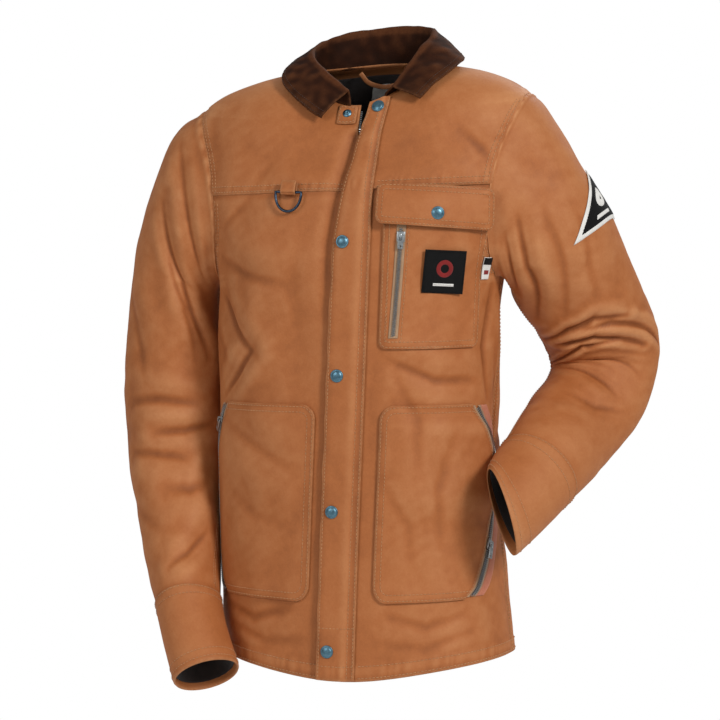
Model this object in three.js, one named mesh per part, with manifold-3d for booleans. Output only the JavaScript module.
// A hip-length leather work jacket, standing as it is worn: right arm hanging, left hand at its pocket.
// Millimetres, +Z up, -Y to the wearer's front, +X to the wearer's left. Heights in this file are
// measured from the lowest cuff edge, and the finished group is moved so that the origin is the
// centre of the neck seam, where a wearer's neck or a display bust holds the jacket.
import * as THREE from "three";
import { mergeVertices } from "three/addons/utils/BufferGeometryUtils.js";
import Module from "manifold-3d";

const wasm = await Module();
wasm.setup();

// ---------------------------------------------------------------- driving dimensions
const LEATHER = 3.0; // outer leather with its interlining
const LINING = 1.6;
const TRIM = 2.4; // placket, flap, pocket and collar leaf
const GAP = 0.4; // between pieces that are sewn together
const EASE = 6.5; // between the leather and its lining
const NECK = new THREE.Vector3(10, 4, 749); // centre of the neck seam
const HEM = 40; // the hem is this high at the sides and dips to 14 in front
const YOKE_SEAM = 602;
const ARMPIT = 492;
const SHOULDER_TILT = 0.044; // the left shoulder is carried a little higher

// Places on the body are given as s, millimetres round it from the front opening towards the
// wearer's left, and h, the height of that section at the side.
const SEWN = 1.5; // stand-off of a piece sewn on top of another
const SNAP_HEIGHTS = [69, 216, 380, 538];
const SNAP_LINE = -6.5;
const THROAT_SNAP = [19, 731]; // this one is left undone
const PLACKET_LIFT = 5.4; // the placket stands this far off the front over the studs
const ZIP_LINE = 5; // the main zip, under the placket
const ZIP_TOP = 500; // its slider rests here, with the throat open above it

const CHEST = { left: 40, right: 168, low: 411, high: 580 };
const FLAP = { left: 32, right: 170, low: 560, high: 608, slant: -0.075 };
const FLAP_SNAP = [103, 568];
const CHEST_ZIP = { low: [57, 427], high: [62.5, 552] };
const BADGE = { s: 113, h: 501, size: 52, spin: -3 };
const SIDE_LABEL = { left: 171, right: 185, low: 489, high: 515 };
const RING = { s: -76, h: 590, width: 33, drop: 23, wire: 1.7 };
const POCKET_TOP = 345;
const POCKET_LOW = 114;
const POCKET_ROUND = 18;
// The curved zip of a hand pocket, as height and distance from the front opening.
const POCKET_ZIP = [
  [114, 163],
  [127, 177],
  [160, 191],
  [200, 200],
  [235, 204],
  [268, 204],
  [302, 193],
  [345, 168],
];
const POCKET_EASE = 6; // how far the open left pocket stands off

// Horizontal sections of the body from hem to neck seam:
// height at the side, height in front, height behind, half width, front and back depth,
// squareness (2 is an ellipse) and centre.
const SECTIONS = [
  [40, 14, 22, 178, 127, 116, 2.4, 5],
  [150, 150, 152, 173, 128.4, 110, 2.4, -2],
  [290, 290, 290, 168, 129.8, 104, 2.4, -7],
  [400, 400, 400, 168, 130.6, 112, 2.4, -6],
  [492, 492, 492, 173, 131.2, 122, 2.4, -4],
  [530, 530, 530, 186, 130.8, 126, 2.4, -1],
  [600, 600, 602, 207, 123.5, 128, 2.4, 2],
  [655, 638, 662, 213, 108, 122, 2.35, 2],
  [690, 662, 702, 213, 98, 112, 2.3, 3],
  [719, 678, 728, 183, 89, 96, 2.2, 5],
  [737, 692, 744, 136, 81, 80, 2.1, 8],
  [749, 701, 754, 75, 74, 62, 2, 10],
];
const NECK_H = 749;

// Arm stations from shoulder to cuff: centre, the half axis towards the outside of the arm, and
// the half depth across it. The last one of the left arm also has the direction of its depth.
const RIGHT_ARM = [
  { at: [-213, 4, 570], out: [-30, 0, 93], depth: 71 },
  { at: [-230, 6, 526], out: [-43, 0, 65], depth: 68 },
  { at: [-239, 8, 477], out: [-54, 0, 40], depth: 66 },
  { at: [-242, 9, 416], out: [-62, 0, 16], depth: 64 },
  { at: [-244, 4, 328], out: [-64, 0, 0], depth: 62 },
  { at: [-236, -16, 249], out: [-58, 0, -6], depth: 57 },
  { at: [-215, -62, 157], out: [-44, 0, -9], depth: 51 },
  { at: [-192, -104, 88], out: [-35, 0, -14], depth: 47 },
  { at: [-161, -138, 18], out: [-36, 0, -17], depth: 44 },
];
const LEFT_ARM = [
  { at: [197, 6, 595], out: [24, 4, 102], depth: 72 },
  { at: [217, 19, 561], out: [38, 8, 80], depth: 70 },
  { at: [234, 49, 521], out: [51, 11, 62], depth: 68 },
  { at: [252, 78, 473], out: [57, 13, 41], depth: 62 },
  { at: [268, 104, 430], out: [65, 14, 24], depth: 53 },
  { at: [274, 115, 389], out: [66, 14, 5], depth: 45 },
  { at: [267, 97, 349], out: [61, 13, -18], depth: 42 },
  { at: [248, 52, 312], out: [52, 11, -30], depth: 44 },
  { at: [227, -20, 272], out: [41, 9, -35], depth: 49 },
  { at: [196, -115, 221], out: [14, 3, -52], depth: 38, across: [20, -37, 0] },
];
const RIGHT_CUFF = 1.15; // the cuff takes this many of the last stations
const LEFT_CUFF = 0.8;

const rad = THREE.MathUtils.degToRad;
const smooth = (x, a, b) => THREE.MathUtils.smoothstep(x, a, b);
const lerp = THREE.MathUtils.lerp;
const vec = (x, y, z) => new THREE.Vector3(x, y, z);

// ---------------------------------------------------------------- interpolation
// A smooth curve through the rows of a table, whose first column is the parameter.
function track(rows, x) {
  const last = rows.length - 1;
  let i = 0;
  while (i < last - 1 && x > rows[i + 1][0]) i++;
  const slope = (k, c) => {
    const a = Math.max(k - 1, 0);
    const b = Math.min(k + 1, last);
    return (rows[b][c] - rows[a][c]) / (rows[b][0] - rows[a][0]);
  };
  const span = rows[i + 1][0] - rows[i][0];
  const t = THREE.MathUtils.clamp((x - rows[i][0]) / span, 0, 1);
  const [t2, t3] = [t * t, t * t * t];
  return rows[i].map(
    (p, c) =>
      (2 * t3 - 3 * t2 + 1) * p +
      (t3 - 2 * t2 + t) * span * slope(i, c) +
      (3 * t2 - 2 * t3) * rows[i + 1][c] +
      (t3 - t2) * span * slope(i + 1, c),
  );
}

// ---------------------------------------------------------------- the body's surface
// angle is measured from the front towards the wearer's left; h is the height at the side.
function bodySection(h) {
  const [, front, back, half, deepFront, deepBack, square, x] = track(SECTIONS, h);
  return { front, back, half, deepFront, deepBack, square, x };
}

function bodyPoint(angle, h) {
  const r = bodySection(h);
  const [c, s] = [Math.cos(angle), Math.sin(angle)];
  const deep = c > 0 ? r.deepFront : r.deepBack;
  const reach = (Math.abs(c / deep) ** r.square + Math.abs(s / r.half) ** r.square) ** (-1 / r.square);
  const rise = ((c > 0 ? r.front : r.back) - h) * c * c;
  const x = r.x + reach * s;
  const tilt = SHOULDER_TILT * x * smooth(h, 300, 650);
  return vec(x, -reach * c, h + rise + tilt);
}

// A point standing off a surface by a distance along its outward normal.
function standOff(surface, a, b, off) {
  const e = 1e-3;
  const da = surface(a + e, b).sub(surface(a - e, b));
  const db = surface(a, b + 1).sub(surface(a, b - 1));
  return surface(a, b).addScaledVector(da.cross(db).normalize(), off);
}
const body = (angle, h, off) => standOff(bodyPoint, angle, h, off);

// The line of the front opening, as an angle. It leans to the wearer's left as it rises.
function frontAngle(h) {
  const x = h < 540 ? -8 + 0.042 * h : 14.7 + 7.3 * smooth(h, 540, 749);
  const r = bodySection(h);
  return Math.atan2(x - r.x, r.deepFront);
}

// The angle that lies s millimetres round the body from the front opening.
function angleAt(s, h) {
  const step = rad(1.5) * Math.sign(s || 1);
  let angle = frontAngle(h);
  let here = bodyPoint(angle, h);
  let left = Math.abs(s);
  for (;;) {
    const next = bodyPoint(angle + step, h);
    const length = next.distanceTo(here);
    if (length >= left) return angle + (step * left) / length;
    left -= length;
    angle += step;
    here = next;
  }
}
const onBody = (s, h, off) => body(angleAt(s, h), h, off);

// ---------------------------------------------------------------- armholes
// Distance of the armhole seam from the body's centre by height: it cuts in across the chest and
// leans out over the shoulder.
const ARMHOLE = [
  [492, 172],
  [530, 169],
  [570, 168],
  [632, 177],
  [690, 196],
  [720, 203],
];
const armholeX = (z) => track(ARMHOLE, z)[1];
// The height where the shoulder runs into the armhole.
const SHOULDER_H = (() => {
  let h = 660;
  while (bodySection(h).half > armholeX(h)) h += 0.25;
  return h;
})();

// Rows of the body's grid. Pieces laid on the body use the same ones, so that their facets agree.
const spread = (a, b, n) => Array.from({ length: n }, (_, i) => lerp(a, b, i / n));
const ROWS = [
  ...spread(HEM, ARMPIT, 9),
  ...spread(ARMPIT, YOKE_SEAM, 4),
  ...spread(YOKE_SEAM, SHOULDER_H, 5),
  ...spread(SHOULDER_H, NECK_H, 4),
  NECK_H,
];
const rowsBetween = (low, high) => [low, ...ROWS.filter((h) => h > low + 2 && h < high - 2), high];

function armholeAngle(h, behind) {
  if (h <= ARMPIT || h >= SHOULDER_H) return rad(90);
  const r = bodySection(h);
  const outside = (angle) => {
    const c = Math.cos(angle);
    const z = h + ((c > 0 ? r.front : r.back) - h) * c * c;
    return bodyPoint(angle, h).x - r.x > armholeX(z);
  };
  let [inside, beyond] = [rad(behind ? 160 : 20), rad(90)];
  if (!outside(beyond)) return beyond;
  for (let i = 0; i < 30; i++) {
    const middle = (inside + beyond) / 2;
    if (outside(middle)) beyond = middle;
    else inside = middle;
  }
  return inside;
}

// The armhole as a closed ring of points round its own centre, starting at the shoulder and going
// down the front and up the back.
function armholeRing(side) {
  const points = [];
  const steps = 28;
  const height = (i) => lerp(ARMPIT, SHOULDER_H, (1 - Math.cos((Math.PI * i) / steps)) / 2);
  for (let i = steps; i > 0; i--) points.push(bodyPoint(side * armholeAngle(height(i), false), height(i)));
  for (let i = 0; i < steps; i++) points.push(bodyPoint(side * armholeAngle(height(i), true), height(i)));
  return points;
}

// ---------------------------------------------------------------- sleeves
function makeArm(side, stations) {
  const ring = armholeRing(side);
  const [top, bottom] = [ring[0], ring[ring.length / 2]];
  const centre = top.clone().add(bottom).multiplyScalar(0.5);
  const out = top.clone().sub(bottom).multiplyScalar(0.5);
  const rows = [[0, ...centre.toArray(), ...out.toArray(), 72]];
  stations.forEach((p, i) => rows.push([i + 1, ...p.at, ...p.out, p.depth]));
  const last = stations.length;
  const across0 = vec(0, -1, 0);
  const lastAcross = stations[last - 1].across;

  function frame(t) {
    const row = track(rows, t);
    const [a, b] = [track(rows, Math.max(t - 0.3, 0)), track(rows, Math.min(t + 0.3, last))];
    const along = vec(b[1] - a[1], b[2] - a[2], b[3] - a[3]);
    const outward = vec(row[4], row[5], row[6]);
    const across = outward.clone().cross(along).multiplyScalar(-side).normalize();
    across.lerp(across0, 1 - smooth(t, 0.6, 3.6)).normalize();
    if (lastAcross) across.lerp(vec(...lastAcross).normalize(), smooth(t, last - 1, last)).normalize();
    return { centre: vec(row[1], row[2], row[3]), outward, across: across.multiplyScalar(row[7]) };
  }

  // How much wider the true armhole is than the ellipse, round the first ring.
  const first = frame(0);
  const unit = [first.outward.clone().normalize(), first.across.clone().normalize()];
  const polar = ring
    .map((p) => p.clone().sub(centre))
    .map((p) => ({ angle: Math.atan2(p.dot(unit[1]), p.dot(unit[0])), radius: p.length(), lean: p }))
    .sort((p, q) => p.angle - q.angle);
  function ringAt(angle) {
    const n = polar.length;
    const turn = 2 * Math.PI;
    let j = polar.findIndex((p) => p.angle > angle);
    if (j < 0) j = 0;
    const [p, q] = [polar[(j + n - 1) % n], polar[j]];
    const width = (((q.angle - p.angle) % turn) + turn) % turn || 1;
    const share = ((((angle - p.angle) % turn) + turn) % turn) / width;
    return p.lean.clone().lerp(q.lean, share);
  }

  function point(theta, t) {
    const f = frame(t);
    const spoke = f.outward.clone().multiplyScalar(Math.cos(theta)).addScaledVector(f.across, Math.sin(theta));
    const share = 1 - smooth(t, 0, 2.2);
    if (share > 0) {
      const s0 = first.outward.clone().multiplyScalar(Math.cos(theta)).addScaledVector(first.across, Math.sin(theta));
      const wanted = ringAt(Math.atan2(s0.dot(unit[1]), s0.dot(unit[0])));
      const extra = wanted.sub(s0);
      spoke.addScaledVector(extra, share);
    }
    return f.centre.add(spoke);
  }
  // theta is 0 on the outside of the arm and positive towards the front; t counts stations, and
  // off is measured away from the arm's own centre line.
  const surface = (theta, t, off) => {
    const here = point(theta, t);
    const outward = here.clone().sub(frame(t).centre).normalize();
    return here.addScaledVector(outward, off);
  };
  return { surface, last };
}

const rightArm = makeArm(-1, RIGHT_ARM);
const leftArm = makeArm(1, LEFT_ARM);

// ---------------------------------------------------------------- solids
// Turns a geometry's faces outwards, whichever way its grid ran.
function facingOut(geometry) {
  const p = geometry.attributes.position;
  const index = geometry.index.array;
  let volume = 0;
  const [a, b, c] = [vec(), vec(), vec()];
  for (let i = 0; i < index.length; i += 3) {
    a.fromBufferAttribute(p, index[i]);
    b.fromBufferAttribute(p, index[i + 1]);
    c.fromBufferAttribute(p, index[i + 2]);
    volume += a.dot(b.cross(c));
  }
  if (volume < 0)
    for (let i = 0; i < index.length; i += 3) [index[i + 1], index[i + 2]] = [index[i + 2], index[i + 1]];
  return geometry;
}

// A closed sheet of material over a grid. point(u, v, off) gives the middle surface's offset
// copies, and the sheet runs from offset low to offset high, which may be functions of u and v.
function sheet(point, nu, nv, low, high, around = false) {
  const at = (value, u, v) => (typeof value === "function" ? value(u, v) : value);
  const columns = around ? nu : nu + 1;
  const vertices = [];
  for (const off of [high, low])
    for (let j = 0; j <= nv; j++)
      for (let i = 0; i < columns; i++)
        vertices.push(...point(i / nu, j / nv, at(off, i / nu, j / nv)).toArray());
  const layer = columns * (nv + 1);
  const id = (l, i, j) => l * layer + j * columns + (i % columns);
  const index = [];
  const quad = (a, b, c, d) => index.push(a, b, c, a, c, d);
  for (let j = 0; j < nv; j++)
    for (let i = 0; i < nu; i++) {
      quad(id(0, i, j), id(0, i + 1, j), id(0, i + 1, j + 1), id(0, i, j + 1));
      quad(id(1, i, j), id(1, i, j + 1), id(1, i + 1, j + 1), id(1, i + 1, j));
    }
  for (let i = 0; i < nu; i++) {
    quad(id(0, i, 0), id(1, i, 0), id(1, i + 1, 0), id(0, i + 1, 0));
    quad(id(0, i, nv), id(0, i + 1, nv), id(1, i + 1, nv), id(1, i, nv));
  }
  if (!around)
    for (let j = 0; j < nv; j++) {
      quad(id(0, 0, j), id(0, 0, j + 1), id(1, 0, j + 1), id(1, 0, j));
      quad(id(0, nu, j), id(1, nu, j), id(1, nu, j + 1), id(0, nu, j + 1));
    }
  const geometry = new THREE.BufferGeometry();
  geometry.setAttribute("position", new THREE.Float32BufferAttribute(vertices, 3));
  geometry.setIndex(index);
  return facingOut(geometry);
}

function manifoldOf(geometry) {
  const bare = geometry.clone();
  bare.deleteAttribute("normal");
  bare.deleteAttribute("uv");
  const merged = mergeVertices(bare, 1e-3);
  return new wasm.Manifold(
    new wasm.Mesh({
      numProp: 3,
      vertProperties: merged.attributes.position.array,
      triVerts: new Uint32Array(merged.index.array),
    }),
  );
}

function geometryOf(solid) {
  const made = solid.getMesh();
  const geometry = new THREE.BufferGeometry();
  geometry.setAttribute("position", new THREE.Float32BufferAttribute(made.vertProperties, 3));
  geometry.setIndex([...made.triVerts]);
  return geometry;
}

const cut = (geometry, ...tools) =>
  geometryOf(tools.reduce((solid, tool) => solid.subtract(manifoldOf(tool)), manifoldOf(geometry)));
const join = (...pieces) => geometryOf(pieces.map(manifoldOf).reduce((a, b) => a.add(b)));

// ---------------------------------------------------------------- materials
const look = (colour, roughness, metalness = 0) =>
  new THREE.MeshStandardMaterial({ color: colour, roughness, metalness });
const LOOKS = {
  leather: look(0xb06a3c, 0.7),
  collar: look(0x4a2a18, 0.75),
  lining: look(0x2b211d, 0.85),
  facing: look(0xc77a5c, 0.8),
  tape: look(0xb98e6a, 0.85),
  snap: look(0x8fb4c6, 0.3, 1),
  zip: look(0xa9afb0, 0.35, 1),
  ring: look(0x3b4450, 0.4, 1),
  patch: look(0x121212, 0.8),
  label: look(0xe8e6e0, 0.8),
};

const jacket = new THREE.Group();
function add(name, material, geometry) {
  const mesh = new THREE.Mesh(geometry, LOOKS[material]);
  mesh.name = name;
  jacket.add(mesh);
  return mesh;
}

// ---------------------------------------------------------------- body panels
// Above the zip's slider the two fronts part: distances from the opening line of the front edges
// and of the placket, as height, right front, left front, placket's free edge and stitched edge.
const THROAT = [
  [540, 2, 8, -20, 26],
  [620, 0, 8, -9, 26],
  [690, -5, 8, -2, 26],
  [749, -8, 16, 8, 33],
];
function throat(h) {
  return h < 540 ? THROAT[0] : track(THROAT, h);
}
const rightEdge = (h) => throat(h)[1];
const leftEdge = (h) => throat(h)[2];
const freeEdge = (h) => throat(h)[3];
const stitchedEdge = (h) => throat(h)[4];

// A half gap along a seam, as an angle on the body.
const seamGap = (h) => GAP / 2 / bodySection(h).half;

// Front panels reach from the opening to the side seam, the armhole and the shoulder seam.
function frontPanel(side, rows, nu, from, to) {
  const point = (u, v, off) => {
    const h = rows[Math.round(v * (rows.length - 1))];
    const edge = side < 0 ? rightEdge(h) : leftEdge(h);
    const inner = angleAt(edge, h);
    const outer = side * (armholeAngle(h, false) - seamGap(h));
    return body(lerp(inner, outer, u), h, off);
  };
  return sheet(point, nu, rows.length - 1, from, to);
}

function backPanel(rows, nu, from, to) {
  const point = (u, v, off) => {
    const h = rows[Math.round(v * (rows.length - 1))];
    const edge = armholeAngle(h, true) + seamGap(h);
    return body(lerp(edge, 2 * Math.PI - edge, u), h, off);
  };
  return sheet(point, nu, rows.length - 1, from, to);
}

const PANEL = rowsBetween(HEM, YOKE_SEAM - GAP / 2);
const YOKE = rowsBetween(YOKE_SEAM + GAP / 2, NECK_H - GAP);
const LINED = rowsBetween(HEM + 26, NECK_H - 6);
const INSIDE = [-LEATHER - EASE - LINING, -LEATHER - EASE];
for (const [side, name] of [[-1, "right"], [1, "left"]]) {
  add(`front_${name}`, "leather", frontPanel(side, PANEL, 8, -LEATHER, 0));
  add(`yoke_${name}`, "leather", frontPanel(side, YOKE, 8, -LEATHER, 0));
  add(`lining_front_${name}`, "lining", frontPanel(side, LINED, 5, ...INSIDE));
}
add("back_panel", "leather", backPanel(PANEL, 14, -LEATHER, 0));
add("back_yoke", "leather", backPanel(YOKE, 14, -LEATHER, 0));
add("lining_back", "lining", backPanel(LINED, 10, ...INSIDE));

// ---------------------------------------------------------------- pieces laid on the body
// A strip up the body through the given heights. across lists its stations as [s, low, high].
function strip(across, rows) {
  const count = across(rows[0]).length - 1;
  const height = (v) => rows[Math.round(v * (rows.length - 1))];
  const station = (u, v) => across(height(v))[Math.round(u * count)];
  const point = (u, v, off) => onBody(station(u, v)[0], height(v), off);
  return sheet(point, count, rows.length - 1, (u, v) => station(u, v)[1], (u, v) => station(u, v)[2]);
}

// A patch with rounded corners; left and right give its edges for a height.
function patch({ left, right, low, high, round = 0, slant = 0, nu, rows, from, to }) {
  const inset = (h) => {
    const reach = Math.max(low + round - h, h - (high - round), 0);
    return round - Math.sqrt(Math.max(round * round - reach * reach, 0));
  };
  const side = (edge, h) => (typeof edge === "function" ? edge(h) : edge);
  const point = (u, v, off) => {
    const h = rows[Math.round(v * (rows.length - 1))];
    const s = lerp(side(left, h) + inset(h), side(right, h) - inset(h), u);
    return onBody(s, h + slant * s, off);
  };
  return sheet(point, nu, rows.length - 1, from, to);
}
const evenRows = (low, high, n) => [...spread(low, high, n), high];
// Rows that crowd towards both ends, for rounded corners.
const cornerRows = (low, high, n) => evenRows(0, Math.PI, n).map((a) => lerp(low, high, (1 - Math.cos(a)) / 2));

// Sets a small piece on the body: its own x runs round the body, y up and z outwards.
function place(geometry, s, h, off, spin = 0) {
  const origin = onBody(s, h, off);
  const outward = onBody(s, h, off + 1).sub(origin).normalize();
  const up = onBody(s, h + 2, off).sub(onBody(s, h - 2, off)).normalize();
  const round = up.clone().cross(outward).normalize();
  up.crossVectors(outward, round);
  const frame = new THREE.Matrix4().makeBasis(round, up, outward).setPosition(origin);
  geometry.rotateZ(rad(spin));
  return geometry.applyMatrix4(frame);
}

const block = (w, l, t, x = 0, y = 0, z = 0) => new THREE.BoxGeometry(w, l, t).translate(x, y, z);
const turned = (profile, segments) => {
  const points = profile.map(([r, z]) => new THREE.Vector2(r, z));
  return new THREE.LatheGeometry(points, segments).rotateX(Math.PI / 2);
};
const capShape = () => turned([[0, 0], [7.4, 0], [7.8, 0.7], [7.2, 1.5], [4, 2.7], [0, 3.1]], 14);
const studShape = () => turned([[0, 0], [5.2, 0], [5.2, 0.9], [2.6, 1.2], [2.9, 2.8], [1.4, 3.3], [0, 2.4]], 10);

// A zip slider: a plate with lips beside the teeth, and an arch that holds the pull.
function sliderShape(lipDepth) {
  const plate = block(9.6, 12, 1.4, 0, 0, 0.7);
  const lips = [-4.1, 4.1].map((x) => block(1.4, 12, lipDepth + 0.5, x, 0, 0.25 - lipDepth / 2));
  const arch = block(2, 7, 4, 0, 0, 3);
  return cut(join(plate, ...lips, arch), block(4, 4.2, 2.2, 0, 0, 3));
}

// Its pull hangs from the arch by a crossbar. The crossbar is at the origin.
function pullShape(length, width) {
  const plate = block(width, length, 1.3, 0, 0.65 - length / 2, 0);
  const slot = block(3.2, 4.2, 3, 0, -2.75, 0);
  const hole = new THREE.CylinderGeometry(1.3, 1.3, 4, 12).rotateX(Math.PI / 2).translate(0, 3.6 - length, 0);
  return cut(plate, slot, hole);
}
const ARCH = 3; // height of the crossbar above the slider's seat

function addSlider(name, s, h, off, spin, length, width) {
  add(`${name}_slider`, "zip", place(sliderShape(1.4), s, h, off, spin));
  add(`${name}_pull`, "zip", place(pullShape(length, width), s, h, off + ARCH, spin));
}

// ---------------------------------------------------------------- front opening
const placketRise = (u) => lerp(PLACKET_LIFT, SEWN, smooth(u, 0.66, 1));
const PLACKET_STEPS = [0, 0.33, 0.66, 0.83, 1];
add(
  "placket",
  "leather",
  strip(
    (h) =>
      PLACKET_STEPS.map((u) => [
        lerp(freeEdge(h), stitchedEdge(h), u),
        placketRise(u),
        placketRise(u) + TRIM,
      ]),
    rowsBetween(HEM + 1, 742),
  ),
);
SNAP_HEIGHTS.forEach((h, i) => {
  add(`snap_cap_${i + 1}`, "snap", place(capShape(), SNAP_LINE, h, PLACKET_LIFT + TRIM + GAP));
  add(`snap_stud_${i + 1}`, "snap", place(studShape(), SNAP_LINE, h, GAP));
});
add("snap_cap_5", "snap", place(capShape(), ...THROAT_SNAP, PLACKET_LIFT + TRIM + GAP));
add(
  "throat_tab",
  "leather",
  patch({ left: -34, right: -10, low: 717, high: 744, round: 3, nu: 2, rows: cornerRows(717, 744, 5), from: SEWN, to: SEWN + 1.6 }),
);
add("snap_stud_5", "snap", place(studShape(), -22, 733, SEWN + 1.6 + GAP));

// Each tape lies behind its front and carries a row of teeth in the opening.
const tapeBack = -LEATHER - 2.2;
const tapeFront = -LEATHER - 1.2;
add(
  "main_zip_right",
  "zip",
  strip(
    (h) => [
      [rightEdge(h) - 10, tapeBack, tapeFront],
      [rightEdge(h) + 0.5, tapeBack, tapeFront],
      [rightEdge(h) + 0.6, tapeBack, 0],
      [rightEdge(h) + 2.8, tapeBack, 0],
    ],
    rowsBetween(HEM + 12, 738),
  ),
);
add(
  "main_zip_left",
  "zip",
  strip(
    (h) => [
      [leftEdge(h) - 2.8, tapeBack, 0],
      [leftEdge(h) - 0.6, tapeBack, 0],
      [leftEdge(h) - 0.5, tapeBack, tapeFront],
      [leftEdge(h) + 10, tapeBack, tapeFront],
    ],
    rowsBetween(HEM + 12, 738),
  ),
);
const SMALL = 0.62; // the main slider is this much smaller, to pass under the placket
add("main_zip_slider", "zip", place(sliderShape(0).scale(SMALL, SMALL, SMALL), ZIP_LINE, ZIP_TOP, 0.7));
add(
  "main_zip_pull",
  "zip",
  place(pullShape(24, 8).scale(SMALL, SMALL, SMALL), ZIP_LINE, ZIP_TOP, 0.7 + ARCH * SMALL),
);

// ---------------------------------------------------------------- chest pocket
const CHEST_ROWS = cornerRows(CHEST.low, CHEST.high, 9);
add(
  "chest_pocket",
  "leather",
  patch({ ...CHEST, round: 10, nu: 7, rows: CHEST_ROWS, from: SEWN, to: SEWN + TRIM }),
);
const FLAP_LOW = 2 * SEWN + TRIM;
const flapLift = (u, v) => lerp(FLAP_LOW + 4.4, FLAP_LOW, smooth(v, 0.3, 1));
add(
  "chest_flap",
  "leather",
  patch({
    ...FLAP,
    round: 9,
    nu: 7,
    rows: cornerRows(FLAP.low, FLAP.high, 6),
    from: flapLift,
    to: (u, v) => flapLift(u, v) + TRIM,
  }),
);
add("snap_cap_flap", "snap", place(capShape(), ...FLAP_SNAP, FLAP_LOW + 4.4 + TRIM + GAP));
add("snap_stud_flap", "snap", place(studShape(), FLAP_SNAP[0], FLAP_SNAP[1], SEWN + TRIM + GAP));

const zipSpin = (low, high) => THREE.MathUtils.radToDeg(Math.atan2(low[0] - high[0], high[1] - low[1]));
function zipStrip(line, half, low, high) {
  const at = (h) => lerp(line.low[0], line.high[0], (h - line.low[1]) / (line.high[1] - line.low[1]));
  return strip(
    (h) => [[at(h) - half, low, high], [at(h) + half, low, high]],
    CHEST_ROWS.filter((h) => h > line.low[1] - 9 && h < line.high[1] + 9),
  );
}
const CHEST_FACE = SEWN + TRIM + 0.6;
const chestZipSpin = zipSpin(CHEST_ZIP.low, CHEST_ZIP.high);
add("chest_zip_tape", "tape", zipStrip(CHEST_ZIP, 5.5, CHEST_FACE, CHEST_FACE + 0.8));
add("chest_zip_teeth", "zip", zipStrip(CHEST_ZIP, 2.4, CHEST_FACE + 1.2, CHEST_FACE + 2.6));
addSlider("chest_zip", 62, 542, CHEST_FACE + 3.4, chestZipSpin, 15, 7);

add(
  "badge",
  "patch",
  cut(
    place(block(BADGE.size, BADGE.size, 6, 0, 0, 3), BADGE.s, BADGE.h, SEWN + TRIM - 1.6, BADGE.spin),
    patch({ ...CHEST, round: 10, nu: 7, rows: CHEST_ROWS, from: -12, to: SEWN + TRIM + GAP }),
  ),
);
add(
  "side_label",
  "label",
  patch({ ...SIDE_LABEL, nu: 2, rows: evenRows(SIDE_LABEL.low, SIDE_LABEL.high, 2), from: SEWN, to: SEWN + 1 }),
);

// ---------------------------------------------------------------- D-ring
const ringTop = RING.h + 8;
const ringLift = SEWN + TRIM + 2.6;
function ringShape() {
  const curve = new THREE.CatmullRomCurve3(
    [
      [-0.5, 0],
      [-0.49, -0.3],
      [-0.36, -0.75],
      [0, -1],
      [0.36, -0.75],
      [0.49, -0.3],
      [0.5, 0],
      [0.25, 0],
      [-0.25, 0],
    ].map(([x, y]) => vec(x * RING.width, y * RING.drop, 0)),
    true,
    "centripetal",
  );
  return new THREE.TubeGeometry(curve, 28, RING.wire, 6, true);
}
const ringTilt = (geometry) => geometry.rotateX(rad(4));
add("d_ring", "ring", place(ringTilt(ringShape()), RING.s, ringTop, ringLift + 1.2));
add(
  "d_ring_tab",
  "leather",
  place(
    cut(
      join(block(19, 20, 2.2, 0, 4, -2.4), block(19, 9, 8.6, 0, 0, 0.8)),
      new THREE.CylinderGeometry(2.4, 2.4, 30, 12).rotateZ(Math.PI / 2).translate(0, 0, 1.2),
    ),
    RING.s,
    ringTop,
    ringLift,
  ),
);

// ---------------------------------------------------------------- hand pockets
const zipS = (h) => track(POCKET_ZIP, h)[1];
const openness = (h) => smooth(h, 195, 235) * (1 - smooth(h, 311, POCKET_TOP - 2.4));
const standing = (u, h) => SEWN + POCKET_EASE * openness(h) * smooth(u, 0, 0.6);
const POCKET_ROWS = [
  ...[0, 2.4, 7, 14, 30, 50].map((d) => POCKET_LOW + d),
  ...spread(POCKET_LOW + 70, POCKET_TOP - 34, 6),
  ...[34, 14, 7, 2.4, 0].map((d) => POCKET_TOP - d),
];
const pocketH = (v) => POCKET_ROWS[Math.round(v * (POCKET_ROWS.length - 1))];
const BODY_EDGE = 45; // edge of the left pocket nearest the opening; the right one starts at 33
const handPocket = (side, inner, lift) => {
  const edges = [(h) => side * inner(h), (h) => side * (zipS(h) - 7)];
  if (side < 0) edges.reverse();
  return patch({
    left: edges[0],
    right: edges[1],
    low: POCKET_LOW,
    high: POCKET_TOP,
    nu: 6,
    rows: POCKET_ROWS,
    from: lift,
    to: (u, v) => lift(u, v) + TRIM,
  });
};
const rounded = (edge) => (h) => {
  const reach = Math.max(POCKET_LOW + POCKET_ROUND - h, h - (POCKET_TOP - POCKET_ROUND), 0);
  return edge + POCKET_ROUND - Math.sqrt(Math.max(POCKET_ROUND ** 2 - reach ** 2, 0));
};
add("pocket_left", "leather", handPocket(1, rounded(BODY_EDGE), (u, v) => standing(u, pocketH(v))));
add("pocket_right", "leather", handPocket(-1, rounded(33), () => SEWN));

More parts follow.
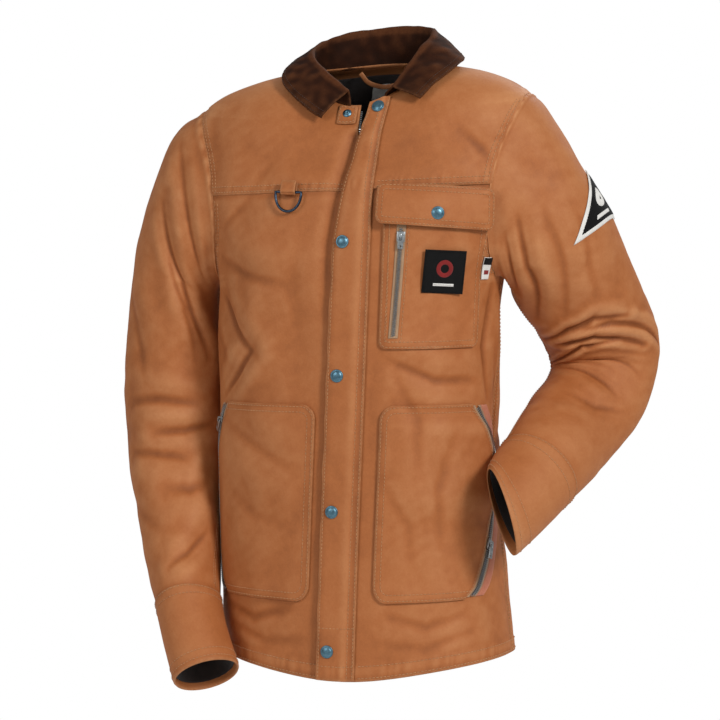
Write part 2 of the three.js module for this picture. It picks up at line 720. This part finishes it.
// Rows of the left zip: the inner one rides on the pocket's edge, the outer one on the body.
const ZIP_ROWS = POCKET_ROWS.slice(1, -1);
const row = (side, into, lift) =>
  strip(
    (h) => {
      const low = lift(h);
      const at = (d) => side * (zipS(h) + into * d);
      const stations = [
        [at(6.4), low, low + 0.8],
        [at(2.7), low, low + 0.8],
        [at(2.6), low, low + 2.2],
        [at(0.25), low, low + 2.2],
      ];
      return side * into > 0 ? stations.reverse() : stations;
    },
    ZIP_ROWS,
  );
add("pocket_left_zip_inner", "zip", row(1, -1, (h) => standing(1, h)));
add("pocket_left_zip_outer", "zip", row(1, 1, () => SEWN));
add(
  "pocket_left_facing",
  "facing",
  strip((h) => [[zipS(h) + 7, SEWN, SEWN + 1], [zipS(h) + 20, SEWN, SEWN + 1]], ZIP_ROWS),
);
add("pocket_right_zip_inner", "zip", row(-1, -1, () => SEWN));
add("pocket_right_zip_outer", "zip", row(-1, 1, () => SEWN));
const rowSpin = (h) => THREE.MathUtils.radToDeg(Math.atan2(zipS(h - 8) - zipS(h + 8), 16));
addSlider("pocket_left", zipS(174), 174, SEWN + 3.2, rowSpin(174), 17, 7);
addSlider("pocket_right", -zipS(322), 322, SEWN + 3.2, -rowSpin(322), 17, 7);

// ---------------------------------------------------------------- sleeves and cuffs
function tube(arm, stations, low, high) {
  const at = (v) => stations[Math.round(v * (stations.length - 1))];
  const point = (u, v, off) => arm.surface(u * 2 * Math.PI, at(v), off);
  return sheet(point, 14, stations.length - 1, low, high, true);
}
for (const [name, arm, cuff, rings] of [
  ["right", rightArm, RIGHT_CUFF, 15],
  ["left", leftArm, LEFT_CUFF, 19],
]) {
  const seam = arm.last - cuff;
  const along = evenRows(0.06, seam - 0.01, rings);
  add(`sleeve_${name}`, "leather", tube(arm, along, -LEATHER, 0));
  add(`cuff_${name}`, "leather", tube(arm, evenRows(seam + 0.01, arm.last, 3), -LEATHER, 0.6));
  add(
    `sleeve_lining_${name}`,
    "lining",
    tube(arm, [...along.slice(1), seam + cuff / 2, arm.last - 0.12], ...INSIDE),
  );
}

// A triangular emblem on the outside of the left sleeve. Its corners are given by the angle round
// the arm and the station along it.
const EMBLEM = { apex: [2, 2.28], front: [84, 2.5], rear: [2, 3.3] };
const emblem = (u, v, off) => {
  const place = (k) => lerp(lerp(EMBLEM.front[k], EMBLEM.rear[k], u), EMBLEM.apex[k], 0.97 * v);
  return leftArm.surface(rad(place(0)), place(1), off);
};
add("sleeve_emblem", "patch", sheet(emblem, 6, 4, 2.2, 3.4));

// ---------------------------------------------------------------- collar
// Stations round the neck: the neck seam's angle, the roll line, and the angle, height and
// stand-off of the collar's outer edge on the body.
const COLLAR = [
  [0, -6, 1, -80, 717, -21, 718, 6],
  [0.12, -42, -32, -60, 741, -41, 729, 6],
  [0.25, -80, -60, -16, 766, -72, 743, 6],
  [0.38, -128, -46, 42, 786, -122, 745, 7],
  [0.5, -180, 8, 64, 796, -179, 745, 8],
  [0.62, -232, 62, 48, 796, -236, 744, 7],
  [0.75, -278, 80, 4, 786, -280, 741, 6],
  [0.88, -318, 70, -48, 756, -303, 732, 6],
  [1, -336, 54, -80, 721, -314, 720, 6],
];
const rollLine = (u) => vec(...track(COLLAR, u).slice(2, 5));
const neckSeam = (u) => bodyPoint(rad(track(COLLAR, u)[1]), 748.5);
const collarEdge = (u) => {
  const [, , , , , angle, h, off] = track(COLLAR, u);
  return body(rad(angle), h, off);
};
const loft = (a, b, u, v, swell) => {
  const [p, q] = [a(u), b(u)];
  const out = vec(p.x - NECK.x, p.y - NECK.y, 0).normalize();
  return p.lerp(q, v).addScaledVector(out, swell * Math.sin(Math.PI * v));
};
function leaf(a, b, low, high, swell, from, to) {
  const surface = (u, v) => loft(a, b, u, v / 100, swell);
  const point = (u, v, off) => standOff(surface, u, lerp(low, high, v) * 100, off);
  return sheet(point, 20, 4, from, to);
}
add("collar", "collar", leaf(rollLine, collarEdge, 0.03, 1, 4, 1, 1 + TRIM));
add("collar_stand", "collar", leaf(neckSeam, rollLine, 0.08, 0.97, 0, 0.6, 0.6 + TRIM));

// ---------------------------------------------------------------- inside the back of the neck
const behind = (angle, h, depth) => body(rad(180 + angle), h, INSIDE[0] - depth);
add(
  "neck_label",
  "label",
  sheet((u, v, off) => behind(lerp(12, -12, u), lerp(704, 730, v), -off), 3, 2, -1.6, -0.8),
);
const loopPath = new THREE.CatmullRomCurve3([
  vec(-20, 50, 742),
  vec(-10, 53, 730),
  vec(10, 55, 725),
  vec(30, 53, 730),
  vec(40, 50, 742),
]);
const loopSection = new THREE.Shape(new THREE.EllipseCurve(0, 0, 3, 1.4, 0, 2 * Math.PI).getPoints(6));
add(
  "hanger_loop",
  "leather",
  new THREE.ExtrudeGeometry(loopSection, { steps: 14, extrudePath: loopPath, bevelEnabled: false }),
);

jacket.position.copy(NECK).negate();
export default jacket;
